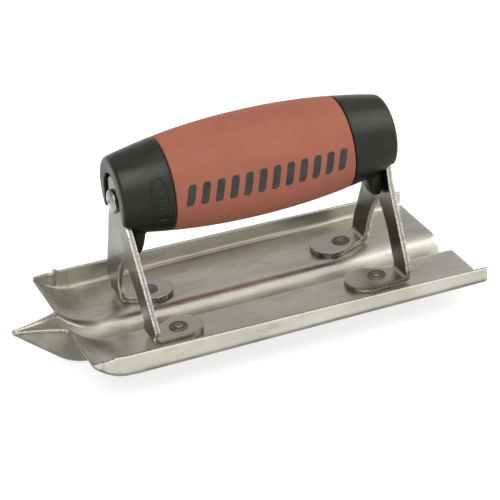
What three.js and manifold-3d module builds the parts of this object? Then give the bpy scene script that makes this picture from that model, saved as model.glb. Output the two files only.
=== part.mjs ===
// Concrete hand groover: a stamped stainless plate with a V-shaped bit down the middle and a
// pointed beak at the front, two forked strap posts riveted to its wings, and a barrel handle
// with a moulded core and a soft grip sleeve, held between the posts by one screw at each end.
//
// Millimetres, +Z up. The bit's lowest line is at z = 0, +X points to the plain rear end and the
// beak points to -X. The object is symmetric about the plane y = 0.

import * as THREE from 'three';
import { mergeVertices } from 'three/addons/utils/BufferGeometryUtils.js';
import Module from 'manifold-3d';

const wasm = await Module();
wasm.setup();

const radians = THREE.MathUtils.degToRad;
const mix = THREE.MathUtils.lerp;

// ---------------------------------------------------------------- driving dimensions

// Plate
const WING_LENGTH = 152.4;
const PLATE_WIDTH = 76.2;
const BEAK_REACH = 19;
const SHEET = 1.2;
const BIT_DEPTH = 10.3;
const BIT_TIP_RADIUS = 2.8;
const BIT_HALF_WIDTH = 5.9;
const RIM_RADIUS = 6;
const FLANGE_REAR = 6.7;
const FLANGE_FRONT = 9;
const FLANGE_BEND = 2.2;
const SLED_RADIUS = 20;
const SLED_LENGTH = 15.4;
const KEEL_RADIUS = 20;
const KEEL_SLOPE = 40;
const KEEL_RISE_LENGTH = 28.4;
const NOTCH_HALF_WIDTH = 6.6;
const NOTCH_RIM_RADIUS = 2.5;
const BEAK_HOLLOW = 1.5;
const BEAK_RIM_RADIUS = 0.1;
const BEAK_TIP_HALF_WIDTH = 1.3;
const BEAK_TIP_RADIUS = 1;
const BEAK_TIP_HEIGHT = 0.3;
const CORNER_FLANGE = 1;
const CORNER_BEND = 0.8;

// Posts. Heights are above the wings' underside. The rear post's legs are splayed less.
const STRAP = 2;
const POST_LEAN = 2;
const POST_BEND = 1.5;
const POST_SPACING = 101.6;
const FORK_HEIGHT = 27;
const FORK_BLUNT = 1;
const FORK_BULGE = 0.66;
const FORK_BULGE_HEIGHT = 20;
const KNEE_HEIGHT = 9;
const TAB_HALF_WIDTH = 5.8;
const TAB_START_HEIGHT = 47;
const TAB_TOP_HEIGHT = 59.9;
const TAB_CROWN = 3;
const NECK_INNER = 13.3;
const FOOT_OUTER = 24.5;
const FOOT_RADIUS = 8.25;
const FRONT_POST = {
  kneeInner: 14.2,
  kneeOuter: 27.6,
  shoulder: 11.2,
  shoulderHeight: 41,
  footLength: 21.2,
};
const REAR_POST = {
  kneeInner: 11.3,
  kneeOuter: 23.4,
  shoulder: 10,
  shoulderHeight: 36,
  footLength: 23.2,
};

// Rivets
const RIVET_SPACING = 78.8;
const RIVET_SHIFT = 0.7;
const RIVET_HALF_GAUGE = 16.4;
const RIVET_SHANK_RADIUS = 2;
const RIVET_HEAD_RADIUS = 3.5;
const RIVET_HEAD_HEIGHT = 0.9;
const RIVET_BRIM = 0.4;
const RIVET_BUTTON_RADIUS = 1.7;
const RIVET_BEVEL = 0.25;

// Handle
const HANDLE_LENGTH = 106.6;
const HANDLE_MAX_RADIUS = 19.6;
const HANDLE_END_RADIUS = 13.8;
const HANDLE_HEIGHT = 52.7;
const HANDLE_SHIFT = 0.85;
const BARREL_POWER = 2.1;
const CAP_EDGE = 2;
const GRIP_LENGTH = 69;
const GRIP_WALL = 3;
const SLOT_MARGIN = 2.6;
const SLOT_LENGTH = 20;
const SLOT_TOP_GAP = 1.2;
const SLOT_CROWN = 2.5;
const SLOT_SHOULDER_GAP = 1;
const TONGUE_DROP = 9.5;
const TONGUE_THICKNESS = 6;
const TONGUE_HALF_WIDTH = 7;
const TONGUE_CORNER = 3.5;
const TONGUE_TAPER = 1;
const TONGUE_ROOT = 6;
const TONGUE_RECESS = 0.9;
const HANDLE_SEGMENTS = 44;

// Handle screws
const SCREW_HEIGHT = 50.2;
const SCREW_HEAD_RADIUS = 4.5;
const SCREW_HEAD_HEIGHT = 2.2;
const SCREW_RIM_HEIGHT = 0.8;
const SCREW_SHANK_RADIUS = 2;
const SCREW_SHANK_LENGTH = 20;
const SCREW_POINT_RADIUS = 1;
const SCREW_POINT_LENGTH = 2;
const RECESS_WIDTH = 1;
const RECESS_LENGTH = 4.6;
const RECESS_DEPTH = 1.3;

// Gap between a piece and whatever passes through it or rests on it
const GAP = 0.3;
const TOUCH = 0.05;

// How far the parts of one bent strap run into each other before they are joined
const JOIN = 0.4;

// ---------------------------------------------------------------- derived places

const OVERALL = WING_LENGTH + BEAK_REACH;
const REAR_X = OVERALL / 2;
const BEAK_X = SHEET / 2 * Math.sin(radians(KEEL_SLOPE)) - OVERALL / 2;
const WING_FRONT_X = REAR_X - WING_LENGTH;
const SLED_X = WING_FRONT_X + SLED_LENGTH;
const HANDLE_X = (REAR_X + WING_FRONT_X) / 2 + HANDLE_SHIFT;
const WING_UNDER = BIT_DEPTH;
const WING_TOP = BIT_DEPTH + SHEET;
const WING_MID = BIT_DEPTH + SHEET / 2;
const HANDLE_Z = WING_UNDER + HANDLE_HEIGHT;
const HALF_WIDTH = (PLATE_WIDTH - SHEET) / 2;
const BEND_HEIGHT = POST_BEND + STRAP;

// ---------------------------------------------------------------- materials

const stainless = (color, roughness) =>
  new THREE.MeshStandardMaterial({ color, roughness, metalness: 1 });
const PLATE_STEEL = stainless(0xb7b4a8, 0.34);
const POST_STEEL = stainless(0xa9a69c, 0.38);
const RIVET_STEEL = stainless(0x8d877c, 0.45);
const SCREW_STEEL = stainless(0xc9c8c2, 0.25);
const CORE_PLASTIC = new THREE.MeshStandardMaterial({
  color: 0x3a3c39, roughness: 0.5, metalness: 0,
});
const GRIP_RUBBER = new THREE.MeshStandardMaterial({
  color: 0xb06a56, roughness: 0.8, metalness: 0,
});

// ---------------------------------------------------------------- solids

// A closed solid made from a three.js geometry whose shared vertices are merged.
function solid(geometry) {
  const bare = geometry.clone();
  bare.deleteAttribute('normal');
  bare.deleteAttribute('uv');
  const merged = mergeVertices(bare, 1e-4);
  return new wasm.Manifold(new wasm.Mesh({
    numProp: 3,
    vertProperties: new Float32Array(merged.attributes.position.array),
    triVerts: new Uint32Array(merged.index.array),
  }));
}

// The three.js geometry of a solid, with flat shading normals.
function geometryOf(body) {
  const { vertProperties, triVerts } = body.getMesh();
  const geometry = new THREE.BufferGeometry();
  geometry.setAttribute('position', new THREE.BufferAttribute(vertProperties, 3));
  geometry.setIndex(new THREE.BufferAttribute(triVerts, 1));
  geometry.computeVertexNormals();
  return geometry;
}

// A lathe profile, given as [radius, height] points, turned so that its height runs along +Z.
function turned(profile, segments) {
  const points = profile.map(([radius, height]) => new THREE.Vector2(radius, height));
  return new THREE.LatheGeometry(points, segments).rotateX(Math.PI / 2);
}

// A flat outline in the XY plane, extruded up from z = 0.
function slab(shape, thickness, curveSegments = 10) {
  return new THREE.ExtrudeGeometry(shape, {
    depth: thickness, bevelEnabled: false, curveSegments,
  });
}

// Turns a slab that was drawn in XY so that its X runs along Y, its Y up, its depth along +X.
function standUp(geometry) {
  return geometry.applyMatrix4(new THREE.Matrix4().makeBasis(
    new THREE.Vector3(0, 1, 0), new THREE.Vector3(0, 0, 1), new THREE.Vector3(1, 0, 0),
  ));
}

// ---------------------------------------------------------------- plate

// How far an arc that starts level at distance 0 has climbed at the given distance.
function arcClimb(radius, distance) {
  return radius - Math.sqrt(radius * radius - distance * distance);
}

// Height of the wings' middle surface: level, then curving up like a sled at the front.
function wingHeight(x) {
  const run = THREE.MathUtils.clamp(SLED_X - x, 0, SLED_LENGTH);
  return WING_MID + arcClimb(SLED_RADIUS, run);
}

// Height of the bit's lowest line: level, then an arc, then a straight rise to the beak's tip.
function keelHeight(x) {
  const arcRun = KEEL_RADIUS * Math.sin(radians(KEEL_SLOPE));
  const run = Math.max(BEAK_X + KEEL_RISE_LENGTH - x, 0);
  const straight = Math.max(run - arcRun, 0);
  const climb = arcClimb(KEEL_RADIUS, Math.min(run, arcRun));
  return SHEET / 2 + climb + straight * Math.tan(radians(KEEL_SLOPE));
}

// Everything that fixes the cross-section at one place along the plate.
function sectionAt(x) {
  const sled = THREE.MathUtils.clamp((SLED_X - x) / SLED_LENGTH, 0, 1);
  const flare = THREE.MathUtils.smoothstep(sled, 0, 1);
  const beak = THREE.MathUtils.clamp((WING_FRONT_X - x) / (WING_FRONT_X - BEAK_X), 0, 1);
  const taper = (1 - beak) ** BEAK_HOLLOW;
  const keel = keelHeight(x);
  const edge = wingHeight(x);
  const along = (x - SLED_X) / (REAR_X - SLED_X);
  const flangeTop = WING_UNDER + mix(FLANGE_FRONT, FLANGE_REAR, Math.max(along, 0));
  return {
    keel,
    edge: mix(edge, keelHeight(BEAK_X) + BEAK_TIP_HEIGHT, beak),
    tipRadius: mix(BIT_TIP_RADIUS - SHEET / 2, BEAK_TIP_RADIUS, beak),
    halfWidth: mix(BEAK_TIP_HALF_WIDTH, mix(BIT_HALF_WIDTH, NOTCH_HALF_WIDTH, flare), taper),
    rimRadius: mix(mix(RIM_RADIUS, NOTCH_RIM_RADIUS, flare), BEAK_RIM_RADIUS, Math.sqrt(beak)),
    flangeTop: Math.max(flangeTop, edge + CORNER_FLANGE),
    flangeBend: mix(FLANGE_BEND, CORNER_BEND, flare),
  };
}

// The bit's half-section from its lowest point (share 0) to the end of its rim bend (share 1).
const TIP_SHARE = 0.3;
const WALL_SHARE = 0.55;
function bitPoint(section, share) {
  const centre = section.keel + section.tipRadius;
  const reach = Math.hypot(section.halfWidth, section.edge - centre);
  const toCorner = Math.atan2(section.edge - centre, section.halfWidth);
  const touch = toCorner - Math.acos(section.tipRadius / reach);
  const wallAngle = touch + Math.PI / 2;
  const trim = section.rimRadius * Math.tan(wallAngle / 2);
  const wallStart = [
    section.tipRadius * Math.cos(touch), centre + section.tipRadius * Math.sin(touch)];
  const wallEnd = [
    section.halfWidth - trim * Math.cos(wallAngle), section.edge - trim * Math.sin(wallAngle)];
  if (share <= TIP_SHARE) {
    const angle = mix(-Math.PI / 2, touch, share / TIP_SHARE);
    return [section.tipRadius * Math.cos(angle), centre + section.tipRadius * Math.sin(angle)];
  }
  if (share <= WALL_SHARE) {
    const along = (share - TIP_SHARE) / (WALL_SHARE - TIP_SHARE);
    return [mix(wallStart[0], wallEnd[0], along), mix(wallStart[1], wallEnd[1], along)];
  }
  const angle = mix(wallAngle, 0, (share - WALL_SHARE) / (1 - WALL_SHARE));
  return [
    section.halfWidth + trim - section.rimRadius * Math.sin(angle),
    section.edge - section.rimRadius * (1 - Math.cos(angle)),
  ];
}

// The wing's half-section from the bit's rim (share 0) to the top of the flange (share 1).
const WING_SHARE = 0.4;
const BEND_SHARE = 0.8;
function wingPoint(section, share) {
  const rim = bitPoint(section, 1);
  const bendY = HALF_WIDTH - section.flangeBend;
  const bendZ = section.edge + section.flangeBend;
  if (share <= WING_SHARE) {
    return [mix(rim[0], bendY, share / WING_SHARE), section.edge];
  }
  if (share <= BEND_SHARE) {
    const angle = (share - WING_SHARE) / (BEND_SHARE - WING_SHARE) * Math.PI / 2;
    return [
      bendY + section.flangeBend * Math.sin(angle), bendZ - section.flangeBend * Math.cos(angle)];
  }
  return [HALF_WIDTH, mix(bendZ, section.flangeTop, (share - BEND_SHARE) / (1 - BEND_SHARE))];
}

// Where the sheet ends at the front: the tip of the beak near the keel, then a straight cut
// back to the notch, then straight across the wing.
const BLUNT_SHARE = 0.12;
function frontX(bitShare) {
  if (bitShare >= 1) return WING_FRONT_X;
  const back = Math.max(bitShare - BLUNT_SHARE, 0) / (1 - BLUNT_SHARE);
  return mix(BEAK_X, WING_FRONT_X, back);
}

// A point of the sheet's middle surface. across runs from -2 (one flange's top) through 0 (the
// keel) to 2; along runs from 0 at the rear end to 1 at the front edge.
const STRAIGHT_SHARE = 0.1;
function middleSurface(across, along) {
  const bitShare = Math.min(Math.abs(across), 1);
  const end = frontX(bitShare);
  const straight = Math.min(along / STRAIGHT_SHARE, 1);
  const front = Math.max(along - STRAIGHT_SHARE, 0) / (1 - STRAIGHT_SHARE);
  const x = mix(mix(REAR_X, SLED_X, straight), end, front);
  const section = sectionAt(x);
  let point;
  if (Math.abs(across) <= 1) {
    const reach = (WING_FRONT_X - x) / (WING_FRONT_X - BEAK_X);
    const edgeShare = x >= WING_FRONT_X ? 1 : mix(1, BLUNT_SHARE, reach);
    point = bitPoint(section, Math.min(bitShare / edgeShare, 1));
  } else {
    point = wingPoint(section, Math.abs(across) - 1);
  }
  return new THREE.Vector3(x, Math.sign(across) * point[0], point[1]);
}

// The sheet is a box of 1 x 1 x 1 whose faces are divided into a grid; every vertex is moved to
// its place on the formed sheet, half a thickness to either side of the middle surface.
function sheetStops() {
  const half = [];
  const divide = (from, to, count) => {
    for (let i = 0; i < count; i += 1) half.push(mix(from, to, i / count));
  };
  divide(0, TIP_SHARE, 4);
  divide(TIP_SHARE, WALL_SHARE, 1);
  divide(WALL_SHARE, 1, 5);
  divide(1, 1 + WING_SHARE, 2);
  divide(1 + WING_SHARE, 1 + BEND_SHARE, 4);
  half.push(1 + BEND_SHARE, 2);
  return [...half.slice(1).map((stop) => -stop).reverse(), ...half];
}

function plateGeometry() {
  const stops = sheetStops();
  const lengthSteps = 18;
  const grid = new THREE.BoxGeometry(1, 1, 1, lengthSteps, stops.length - 1, 1);
  const position = grid.attributes.position;
  const nudge = 1e-3;
  for (let i = 0; i < position.count; i += 1) {
    const step = Math.round((0.5 - position.getX(i)) * lengthSteps);
    const along = step <= 1 ? step * STRAIGHT_SHARE
      : mix(STRAIGHT_SHARE, 1, (step - 1) / (lengthSteps - 1));
    const across = stops[Math.round((position.getY(i) + 0.5) * (stops.length - 1))];
    const side = position.getZ(i) * SHEET;
    const here = middleSurface(across, along);
    const lengthwise = middleSurface(across, Math.max(along - nudge, 0))
      .sub(middleSurface(across, Math.min(along + nudge, 1)));
    const crosswise = middleSurface(Math.min(across + nudge, 2), along)
      .sub(middleSurface(Math.max(across - nudge, -2), along));
    const normal = lengthwise.cross(crosswise).normalize();
    here.addScaledVector(normal, side);
    position.setXYZ(i, here.x, here.y, here.z);
  }
  return grid;
}

function rivetPlaces() {
  const spots = [];
  for (const [end, endSign] of [['front', -1], ['rear', 1]]) {
    for (const [sideName, sideSign] of [['right', -1], ['left', 1]]) {
      spots.push({
        name: `rivet_${end}_${sideName}`,
        x: HANDLE_X + RIVET_SHIFT + endSign * RIVET_SPACING / 2,
        y: sideSign * RIVET_HALF_GAUGE,
      });
    }
  }
  return spots;
}

function rivetHole({ x, y }) {
  const bore = RIVET_SHANK_RADIUS + GAP;
  const hole = new THREE.CylinderGeometry(bore, bore, (SHEET + STRAP) * 3, 16);
  return solid(hole.rotateX(Math.PI / 2).translate(x, y, WING_TOP));
}

function buildPlate() {
  let plate = solid(plateGeometry());
  for (const spot of rivetPlaces()) plate = plate.subtract(rivetHole(spot));
  return geometryOf(plate);
}

// ---------------------------------------------------------------- posts

// The upright part of a post, drawn across the tool: a pointed tab at the top that widens into
// two splayed legs, which narrow again below the knee. Heights are above the wings' underside.
function postOutline(post, legBottom) {
  const shape = new THREE.Shape();
  const waist = TAB_HALF_WIDTH + 1;
  const crown = TAB_TOP_HEIGHT - TAB_CROWN;
  const bulge = post.kneeInner * FORK_BULGE;
  shape.moveTo(NECK_INNER, legBottom);
  shape.lineTo(FOOT_OUTER, legBottom);
  shape.lineTo(post.kneeOuter, KNEE_HEIGHT);
  shape.lineTo(post.shoulder, post.shoulderHeight);
  shape.quadraticCurveTo(waist, TAB_START_HEIGHT, TAB_HALF_WIDTH, SCREW_HEIGHT);
  shape.quadraticCurveTo(TAB_HALF_WIDTH - 1, crown, 0, TAB_TOP_HEIGHT);
  shape.quadraticCurveTo(1 - TAB_HALF_WIDTH, crown, -TAB_HALF_WIDTH, SCREW_HEIGHT);
  shape.quadraticCurveTo(-waist, TAB_START_HEIGHT, -post.shoulder, post.shoulderHeight);
  shape.lineTo(-post.kneeOuter, KNEE_HEIGHT);
  shape.lineTo(-FOOT_OUTER, legBottom);
  shape.lineTo(-NECK_INNER, legBottom);
  shape.lineTo(-post.kneeInner, KNEE_HEIGHT);
  shape.quadraticCurveTo(-bulge, FORK_BULGE_HEIGHT, -FORK_BLUNT, FORK_HEIGHT - FORK_BLUNT);
  shape.quadraticCurveTo(0, FORK_HEIGHT, FORK_BLUNT, FORK_HEIGHT - FORK_BLUNT);
  shape.quadraticCurveTo(bulge, FORK_BULGE_HEIGHT, post.kneeInner, KNEE_HEIGHT);
  shape.closePath();
  return shape;
}

// A foot seen from above, from the bend at x = 0 to its round end.
function footOutline(length) {
  const middle = FOOT_OUTER - FOOT_RADIUS;
  const centre = length - FOOT_RADIUS;
  const shape = new THREE.Shape();
  shape.moveTo(0, NECK_INNER);
  shape.lineTo(centre, middle - FOOT_RADIUS);
  shape.absarc(centre, middle, FOOT_RADIUS, -Math.PI / 2, Math.PI / 2, false);
  shape.lineTo(0, FOOT_OUTER);
  shape.closePath();
  return shape;
}

// The quarter turn between a leg and its foot, extruded across the leg.
function bendGeometry() {
  const shape = new THREE.Shape();
  shape.moveTo(-BEND_HEIGHT, 0);
  shape.absarc(0, 0, BEND_HEIGHT, Math.PI, Math.PI * 1.5, false);
  shape.lineTo(0, -POST_BEND);
  shape.absarc(0, 0, POST_BEND, Math.PI * 1.5, Math.PI, true);
  shape.closePath();
  return slab(shape, FOOT_OUTER - NECK_INNER, 6).rotateX(Math.PI / 2);
}

// A post whose legs bend at x = 0 and whose feet run towards +X.
function postBody(post) {
  const upright = standUp(slab(postOutline(post, SHEET + BEND_HEIGHT - JOIN), STRAP, 8));
  upright.translate(0, 0, -SHEET - BEND_HEIGHT);
  upright.rotateY(-radians(POST_LEAN));
  upright.translate(0, 0, BEND_HEIGHT);
  let body = solid(upright);
  for (const side of [-1, 1]) {
    const bend = bendGeometry().translate(BEND_HEIGHT, FOOT_OUTER, BEND_HEIGHT);
    const foot = slab(footOutline(post.footLength - BEND_HEIGHT + JOIN), STRAP, 14);
    foot.translate(BEND_HEIGHT - JOIN, 0, 0);
    let leg = solid(bend).add(solid(foot));
    if (side < 0) leg = leg.mirror([0, 1, 0]);
    body = body.add(leg);
  }
  return body;
}

// How far a post's outer face is from the middle between the posts, at a height above the
// wings' underside.
function postFaceX(height) {
  return POST_SPACING / 2 + (height - SHEET - BEND_HEIGHT) * Math.tan(radians(POST_LEAN));
}

function buildPost(post, end) {
  const bore = SCREW_SHANK_RADIUS + GAP;
  const screwHole = new THREE.CylinderGeometry(bore, bore, STRAP * 4, 20).rotateZ(Math.PI / 2);
  let body = postBody(post);
  if (end > 0) body = body.mirror([1, 0, 0]);
  body = body.translate(HANDLE_X + end * POST_SPACING / 2, 0, WING_TOP + TOUCH);
  screwHole.translate(HANDLE_X + end * postFaceX(SCREW_HEIGHT), 0, WING_UNDER + SCREW_HEIGHT);
  body = body.subtract(solid(screwHole));
  for (const spot of rivetPlaces()) body = body.subtract(rivetHole(spot));
  return geometryOf(body);
}

// ---------------------------------------------------------------- rivets and screws

// A rivet standing on z = 0 with a flat brim and a raised button in the middle of its head.
function buildRivet() {
  const seat = SHEET + STRAP + TOUCH * 2;
  return turned([
    [0, 0],
    [RIVET_SHANK_RADIUS, 0],
    [RIVET_SHANK_RADIUS, seat],
    [RIVET_HEAD_RADIUS, seat],
    [RIVET_HEAD_RADIUS - RIVET_BEVEL, seat + RIVET_BRIM],
    [RIVET_BUTTON_RADIUS + RIVET_BEVEL, seat + RIVET_BRIM],
    [RIVET_BUTTON_RADIUS, seat + RIVET_HEAD_HEIGHT - RIVET_BEVEL],
    [RIVET_BUTTON_RADIUS - RIVET_BEVEL, seat + RIVET_HEAD_HEIGHT],
    [0, seat + RIVET_HEAD_HEIGHT],
  ], 24);
}

// A pan-head screw whose head's underside is at z = 0 and whose shank runs to -Z.
function buildScrew() {
  const profile = [[0, -SCREW_SHANK_LENGTH], [SCREW_POINT_RADIUS, -SCREW_SHANK_LENGTH]];
  profile.push([SCREW_SHANK_RADIUS, SCREW_POINT_LENGTH - SCREW_SHANK_LENGTH]);
  profile.push([SCREW_SHANK_RADIUS, 0]);
  profile.push([SCREW_HEAD_RADIUS, 0]);
  const domeSteps = 5;
  for (let i = 0; i <= domeSteps; i += 1) {
    const angle = i / domeSteps * Math.PI / 2;
    profile.push([
      SCREW_HEAD_RADIUS * Math.cos(angle),
      SCREW_RIM_HEIGHT + (SCREW_HEAD_HEIGHT - SCREW_RIM_HEIGHT) * Math.sin(angle),
    ]);
  }
  profile[profile.length - 1][0] = 0;
  let body = solid(turned(profile, 28));
  for (const turn of [0, Math.PI / 2]) {
    const arm = new THREE.BoxGeometry(RECESS_LENGTH, RECESS_WIDTH, RECESS_DEPTH * 2);
    body = body.subtract(solid(arm.rotateZ(turn).translate(0, 0, SCREW_HEAD_HEIGHT)));
  }
  return geometryOf(body);
}

// ---------------------------------------------------------------- handle

// The handle's outer radius at a distance from its middle: a barrel that narrows to both ends.
function barrelRadius(distance) {
  const share = Math.abs(distance) / (HANDLE_LENGTH / 2);
  return HANDLE_MAX_RADIUS - (HANDLE_MAX_RADIUS - HANDLE_END_RADIUS) * share ** BARREL_POWER;
}

// Outer profile points between two distances from the middle.
function barrelProfile(from, to, steps, inset = 0) {
  const points = [];
  for (let i = 0; i <= steps; i += 1) {
    const distance = mix(from, to, i / steps);
    points.push([barrelRadius(distance) - inset, distance]);
  }
  return points;
}

function cappedEnd(sign) {
  const half = HANDLE_LENGTH / 2;
  const grip = GRIP_LENGTH / 2 + GAP;
  const points = barrelProfile(sign * grip, sign * (half - CAP_EDGE), 5);
  const steps = 4;
  for (let i = 1; i <= steps; i += 1) {
    const angle = i / steps * Math.PI / 2;
    points.push([
      barrelRadius(half - CAP_EDGE) - CAP_EDGE * (1 - Math.cos(angle)),
      sign * (half - CAP_EDGE * (1 - Math.sin(angle))),
    ]);
  }
  points.push([0, sign * half]);
  return points;
}

function buildGrip() {
  const half = GRIP_LENGTH / 2;
  const outer = barrelProfile(-half, half, 12);
  const inner = barrelProfile(half, -half, 4, GRIP_WALL);
  const ring = [...outer, ...inner, outer[0]];
  return turned(ring, HANDLE_SEGMENTS);
}

// The slot in an end face that takes the post's tab and the screw's head. It follows the tab
// with a margin, and opens downwards where the post widens.
function slotShape() {
  const half = TAB_HALF_WIDTH + SLOT_MARGIN;
  const top = TAB_TOP_HEIGHT + SLOT_TOP_GAP;
  const shoulder = FRONT_POST.shoulder + SLOT_SHOULDER_GAP;
  const knee = FRONT_POST.kneeOuter + SLOT_SHOULDER_GAP;
  const shoulderHeight = FRONT_POST.shoulderHeight;
  const shape = new THREE.Shape();
  shape.moveTo(-knee, KNEE_HEIGHT);
  shape.lineTo(knee, KNEE_HEIGHT);
  shape.lineTo(shoulder, shoulderHeight);
  shape.quadraticCurveTo(half, TAB_START_HEIGHT, half, SCREW_HEIGHT);
  shape.quadraticCurveTo(half, top - SLOT_CROWN, 0, top);
  shape.quadraticCurveTo(-half, top - SLOT_CROWN, -half, SCREW_HEIGHT);
  shape.quadraticCurveTo(-half, TAB_START_HEIGHT, -shoulder, shoulderHeight);
  shape.closePath();
  return shape;
}

// The lug that hangs below the handle behind a post's upright.
function tongueShape() {
  const bottom = HANDLE_HEIGHT - HANDLE_END_RADIUS - TONGUE_DROP;
  const root = HANDLE_HEIGHT - TONGUE_ROOT;
  const foot = TONGUE_HALF_WIDTH - TONGUE_TAPER;
  const corner = bottom + TONGUE_CORNER;
  const shape = new THREE.Shape();
  shape.moveTo(-TONGUE_HALF_WIDTH, root);
  shape.lineTo(-foot, corner);
  shape.quadraticCurveTo(-foot, bottom, TONGUE_CORNER - foot, bottom);
  shape.lineTo(foot - TONGUE_CORNER, bottom);
  shape.quadraticCurveTo(foot, bottom, foot, corner);
  shape.lineTo(TONGUE_HALF_WIDTH, root);
  shape.closePath();
  return shape;
}

function buildCore() {
  const half = HANDLE_LENGTH / 2;
  const grip = GRIP_LENGTH / 2 + GAP;
  const waist = barrelProfile(-grip, grip, 4, GRIP_WALL + GAP);
  const profile = [...cappedEnd(-1).reverse(), ...waist, ...cappedEnd(1)];
  let body = solid(turned(profile, HANDLE_SEGMENTS).rotateY(Math.PI / 2));
  const slotBack = postFaceX(SCREW_HEIGHT) - STRAP - GAP;
  for (const end of [-1, 1]) {
    const tongue = standUp(slab(tongueShape(), TONGUE_THICKNESS, 6));
    tongue.translate(slotBack - TONGUE_THICKNESS - TONGUE_RECESS, 0, -HANDLE_HEIGHT);
    let lug = solid(tongue);
    if (end < 0) lug = lug.mirror([1, 0, 0]);
    body = body.add(lug);
  }
  for (const end of [-1, 1]) {
    const slot = standUp(slab(slotShape(), SLOT_LENGTH, 8));
    slot.translate(0, 0, -SCREW_HEIGHT);
    slot.rotateY(radians(POST_LEAN));
    slot.translate(slotBack, 0, SCREW_HEIGHT - HANDLE_HEIGHT);
    const boreRadius = SCREW_SHANK_RADIUS + GAP;
    const boreLength = SCREW_SHANK_LENGTH + SCREW_POINT_LENGTH;
    const bore = new THREE.CylinderGeometry(boreRadius, boreRadius, boreLength, 20);
    bore.rotateZ(Math.PI / 2);
    bore.translate(half - SCREW_SHANK_LENGTH / 2, 0, SCREW_HEIGHT - HANDLE_HEIGHT);
    let cut = solid(slot).add(solid(bore));
    if (end < 0) cut = cut.mirror([1, 0, 0]);
    body = body.subtract(cut);
  }
  return geometryOf(body);
}

// ---------------------------------------------------------------- assembly

const groover = new THREE.Group();

function place(name, geometry, material, parent = groover) {
  const mesh = new THREE.Mesh(geometry, material);
  mesh.name = name;
  parent.add(mesh);
  return mesh;
}

place('groover_plate', buildPlate(), PLATE_STEEL);
place('front_post', buildPost(FRONT_POST, -1), POST_STEEL);
place('rear_post', buildPost(REAR_POST, 1), POST_STEEL);

const rivet = buildRivet();
for (const { name, x, y } of rivetPlaces()) {
  place(name, rivet, RIVET_STEEL).position.set(x, y, WING_UNDER);
}

const handle = new THREE.Group();
handle.position.set(HANDLE_X, 0, HANDLE_Z);
groover.add(handle);
place('handle_core', buildCore(), CORE_PLASTIC, handle);
place('grip_sleeve', buildGrip(), GRIP_RUBBER, handle).rotation.y = Math.PI / 2;

const screw = buildScrew();
for (const [name, end] of [['front_screw', -1], ['rear_screw', 1]]) {
  const mesh = place(name, screw, SCREW_STEEL, handle);
  const seat = postFaceX(SCREW_HEIGHT) + GAP;
  mesh.position.set(end * seat, 0, SCREW_HEIGHT - HANDLE_HEIGHT);
  mesh.rotation.y = end * Math.PI / 2;
}

export default groover;
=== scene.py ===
# Concrete hand groover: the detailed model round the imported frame. Lengths are in millimetres
# until a mesh is made, and heights named "above the wings" count from the wings' underside.
import math

import bpy
from mathutils import Matrix, Vector, noise


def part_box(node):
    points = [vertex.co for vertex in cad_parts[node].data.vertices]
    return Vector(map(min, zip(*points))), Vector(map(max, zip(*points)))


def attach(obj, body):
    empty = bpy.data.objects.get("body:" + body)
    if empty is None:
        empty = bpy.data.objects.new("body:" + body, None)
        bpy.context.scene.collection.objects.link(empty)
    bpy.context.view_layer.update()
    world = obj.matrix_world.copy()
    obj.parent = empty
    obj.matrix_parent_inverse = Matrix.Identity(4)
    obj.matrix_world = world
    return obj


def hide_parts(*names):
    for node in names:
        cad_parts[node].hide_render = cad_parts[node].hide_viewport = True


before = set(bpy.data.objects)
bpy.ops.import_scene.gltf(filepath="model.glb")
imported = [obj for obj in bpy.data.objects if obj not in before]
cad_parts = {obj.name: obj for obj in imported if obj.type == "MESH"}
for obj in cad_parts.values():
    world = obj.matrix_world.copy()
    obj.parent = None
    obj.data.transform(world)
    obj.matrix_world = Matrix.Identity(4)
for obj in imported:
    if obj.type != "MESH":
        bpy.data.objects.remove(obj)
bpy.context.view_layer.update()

MM = 0.001

# ---- Dimensions

# Plate
WING_LENGTH = 152.4
PLATE_WIDTH = 76.2
SHEET = 1.2
BIT_DEPTH = 10.3
BIT_TIP_RADIUS = 2.8
BIT_HALF_WIDTH = 5.9
RIM_RADIUS = 6.0
FLANGE_REAR = 6.7
FLANGE_FRONT = 9.0
FLANGE_BEND = 2.2
SLED_RADIUS = 20.0
SLED_LENGTH = 15.4
KEEL_RADIUS = 20.0
KEEL_SLOPE = math.radians(40)
KEEL_RISE_LENGTH = 28.4
NOTCH_HALF_WIDTH = 6.6
NOTCH_RIM_RADIUS = 2.5
BEAK_HOLLOW = 1.5
BEAK_RIM_RADIUS = 0.1
BEAK_TIP_HALF_WIDTH = 1.3
BEAK_TIP_RADIUS = 1.0
BEAK_TIP_HEIGHT = 0.3
CORNER_FLANGE = 1.0
CORNER_BEND = 0.8
TIP_SHARE = 0.3
WALL_SHARE = 0.55
WING_SHARE = 0.4
BEND_SHARE = 0.8
BLUNT_SHARE = 0.12
STRAIGHT_SHARE = 0.1
PLATE_EDGE_ROUND = 0.2

# Posts
STRAP = 2.0
POST_LEAN = math.radians(2)
POST_BEND = 1.5
POST_SPACING = 101.6
FORK_HEIGHT = 27.0
FORK_BULGE = 0.66
FORK_BULGE_HEIGHT = 20.0
KNEE_HEIGHT = 9.0
TAB_HALF_WIDTH = 5.8
TAB_START_HEIGHT = 47.0
TAB_TOP_HEIGHT = 59.9
NECK_INNER = 13.3
FOOT_OUTER = 24.5
FOOT_RADIUS = 8.25
FORK_CROTCH = 1.1
TAB_POWER = 2.4
POST_EDGE_ROUND = 0.2
BEND_HEIGHT = POST_BEND + STRAP
FRONT_POST = {
    "knee_inner": 14.2, "knee_outer": 27.6, "shoulder": 11.2, "shoulder_height": 41.0,
    "foot_length": 21.2}
REAR_POST = {
    "knee_inner": 11.3, "knee_outer": 23.4, "shoulder": 10.0, "shoulder_height": 36.0,
    "foot_length": 23.2}

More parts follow.
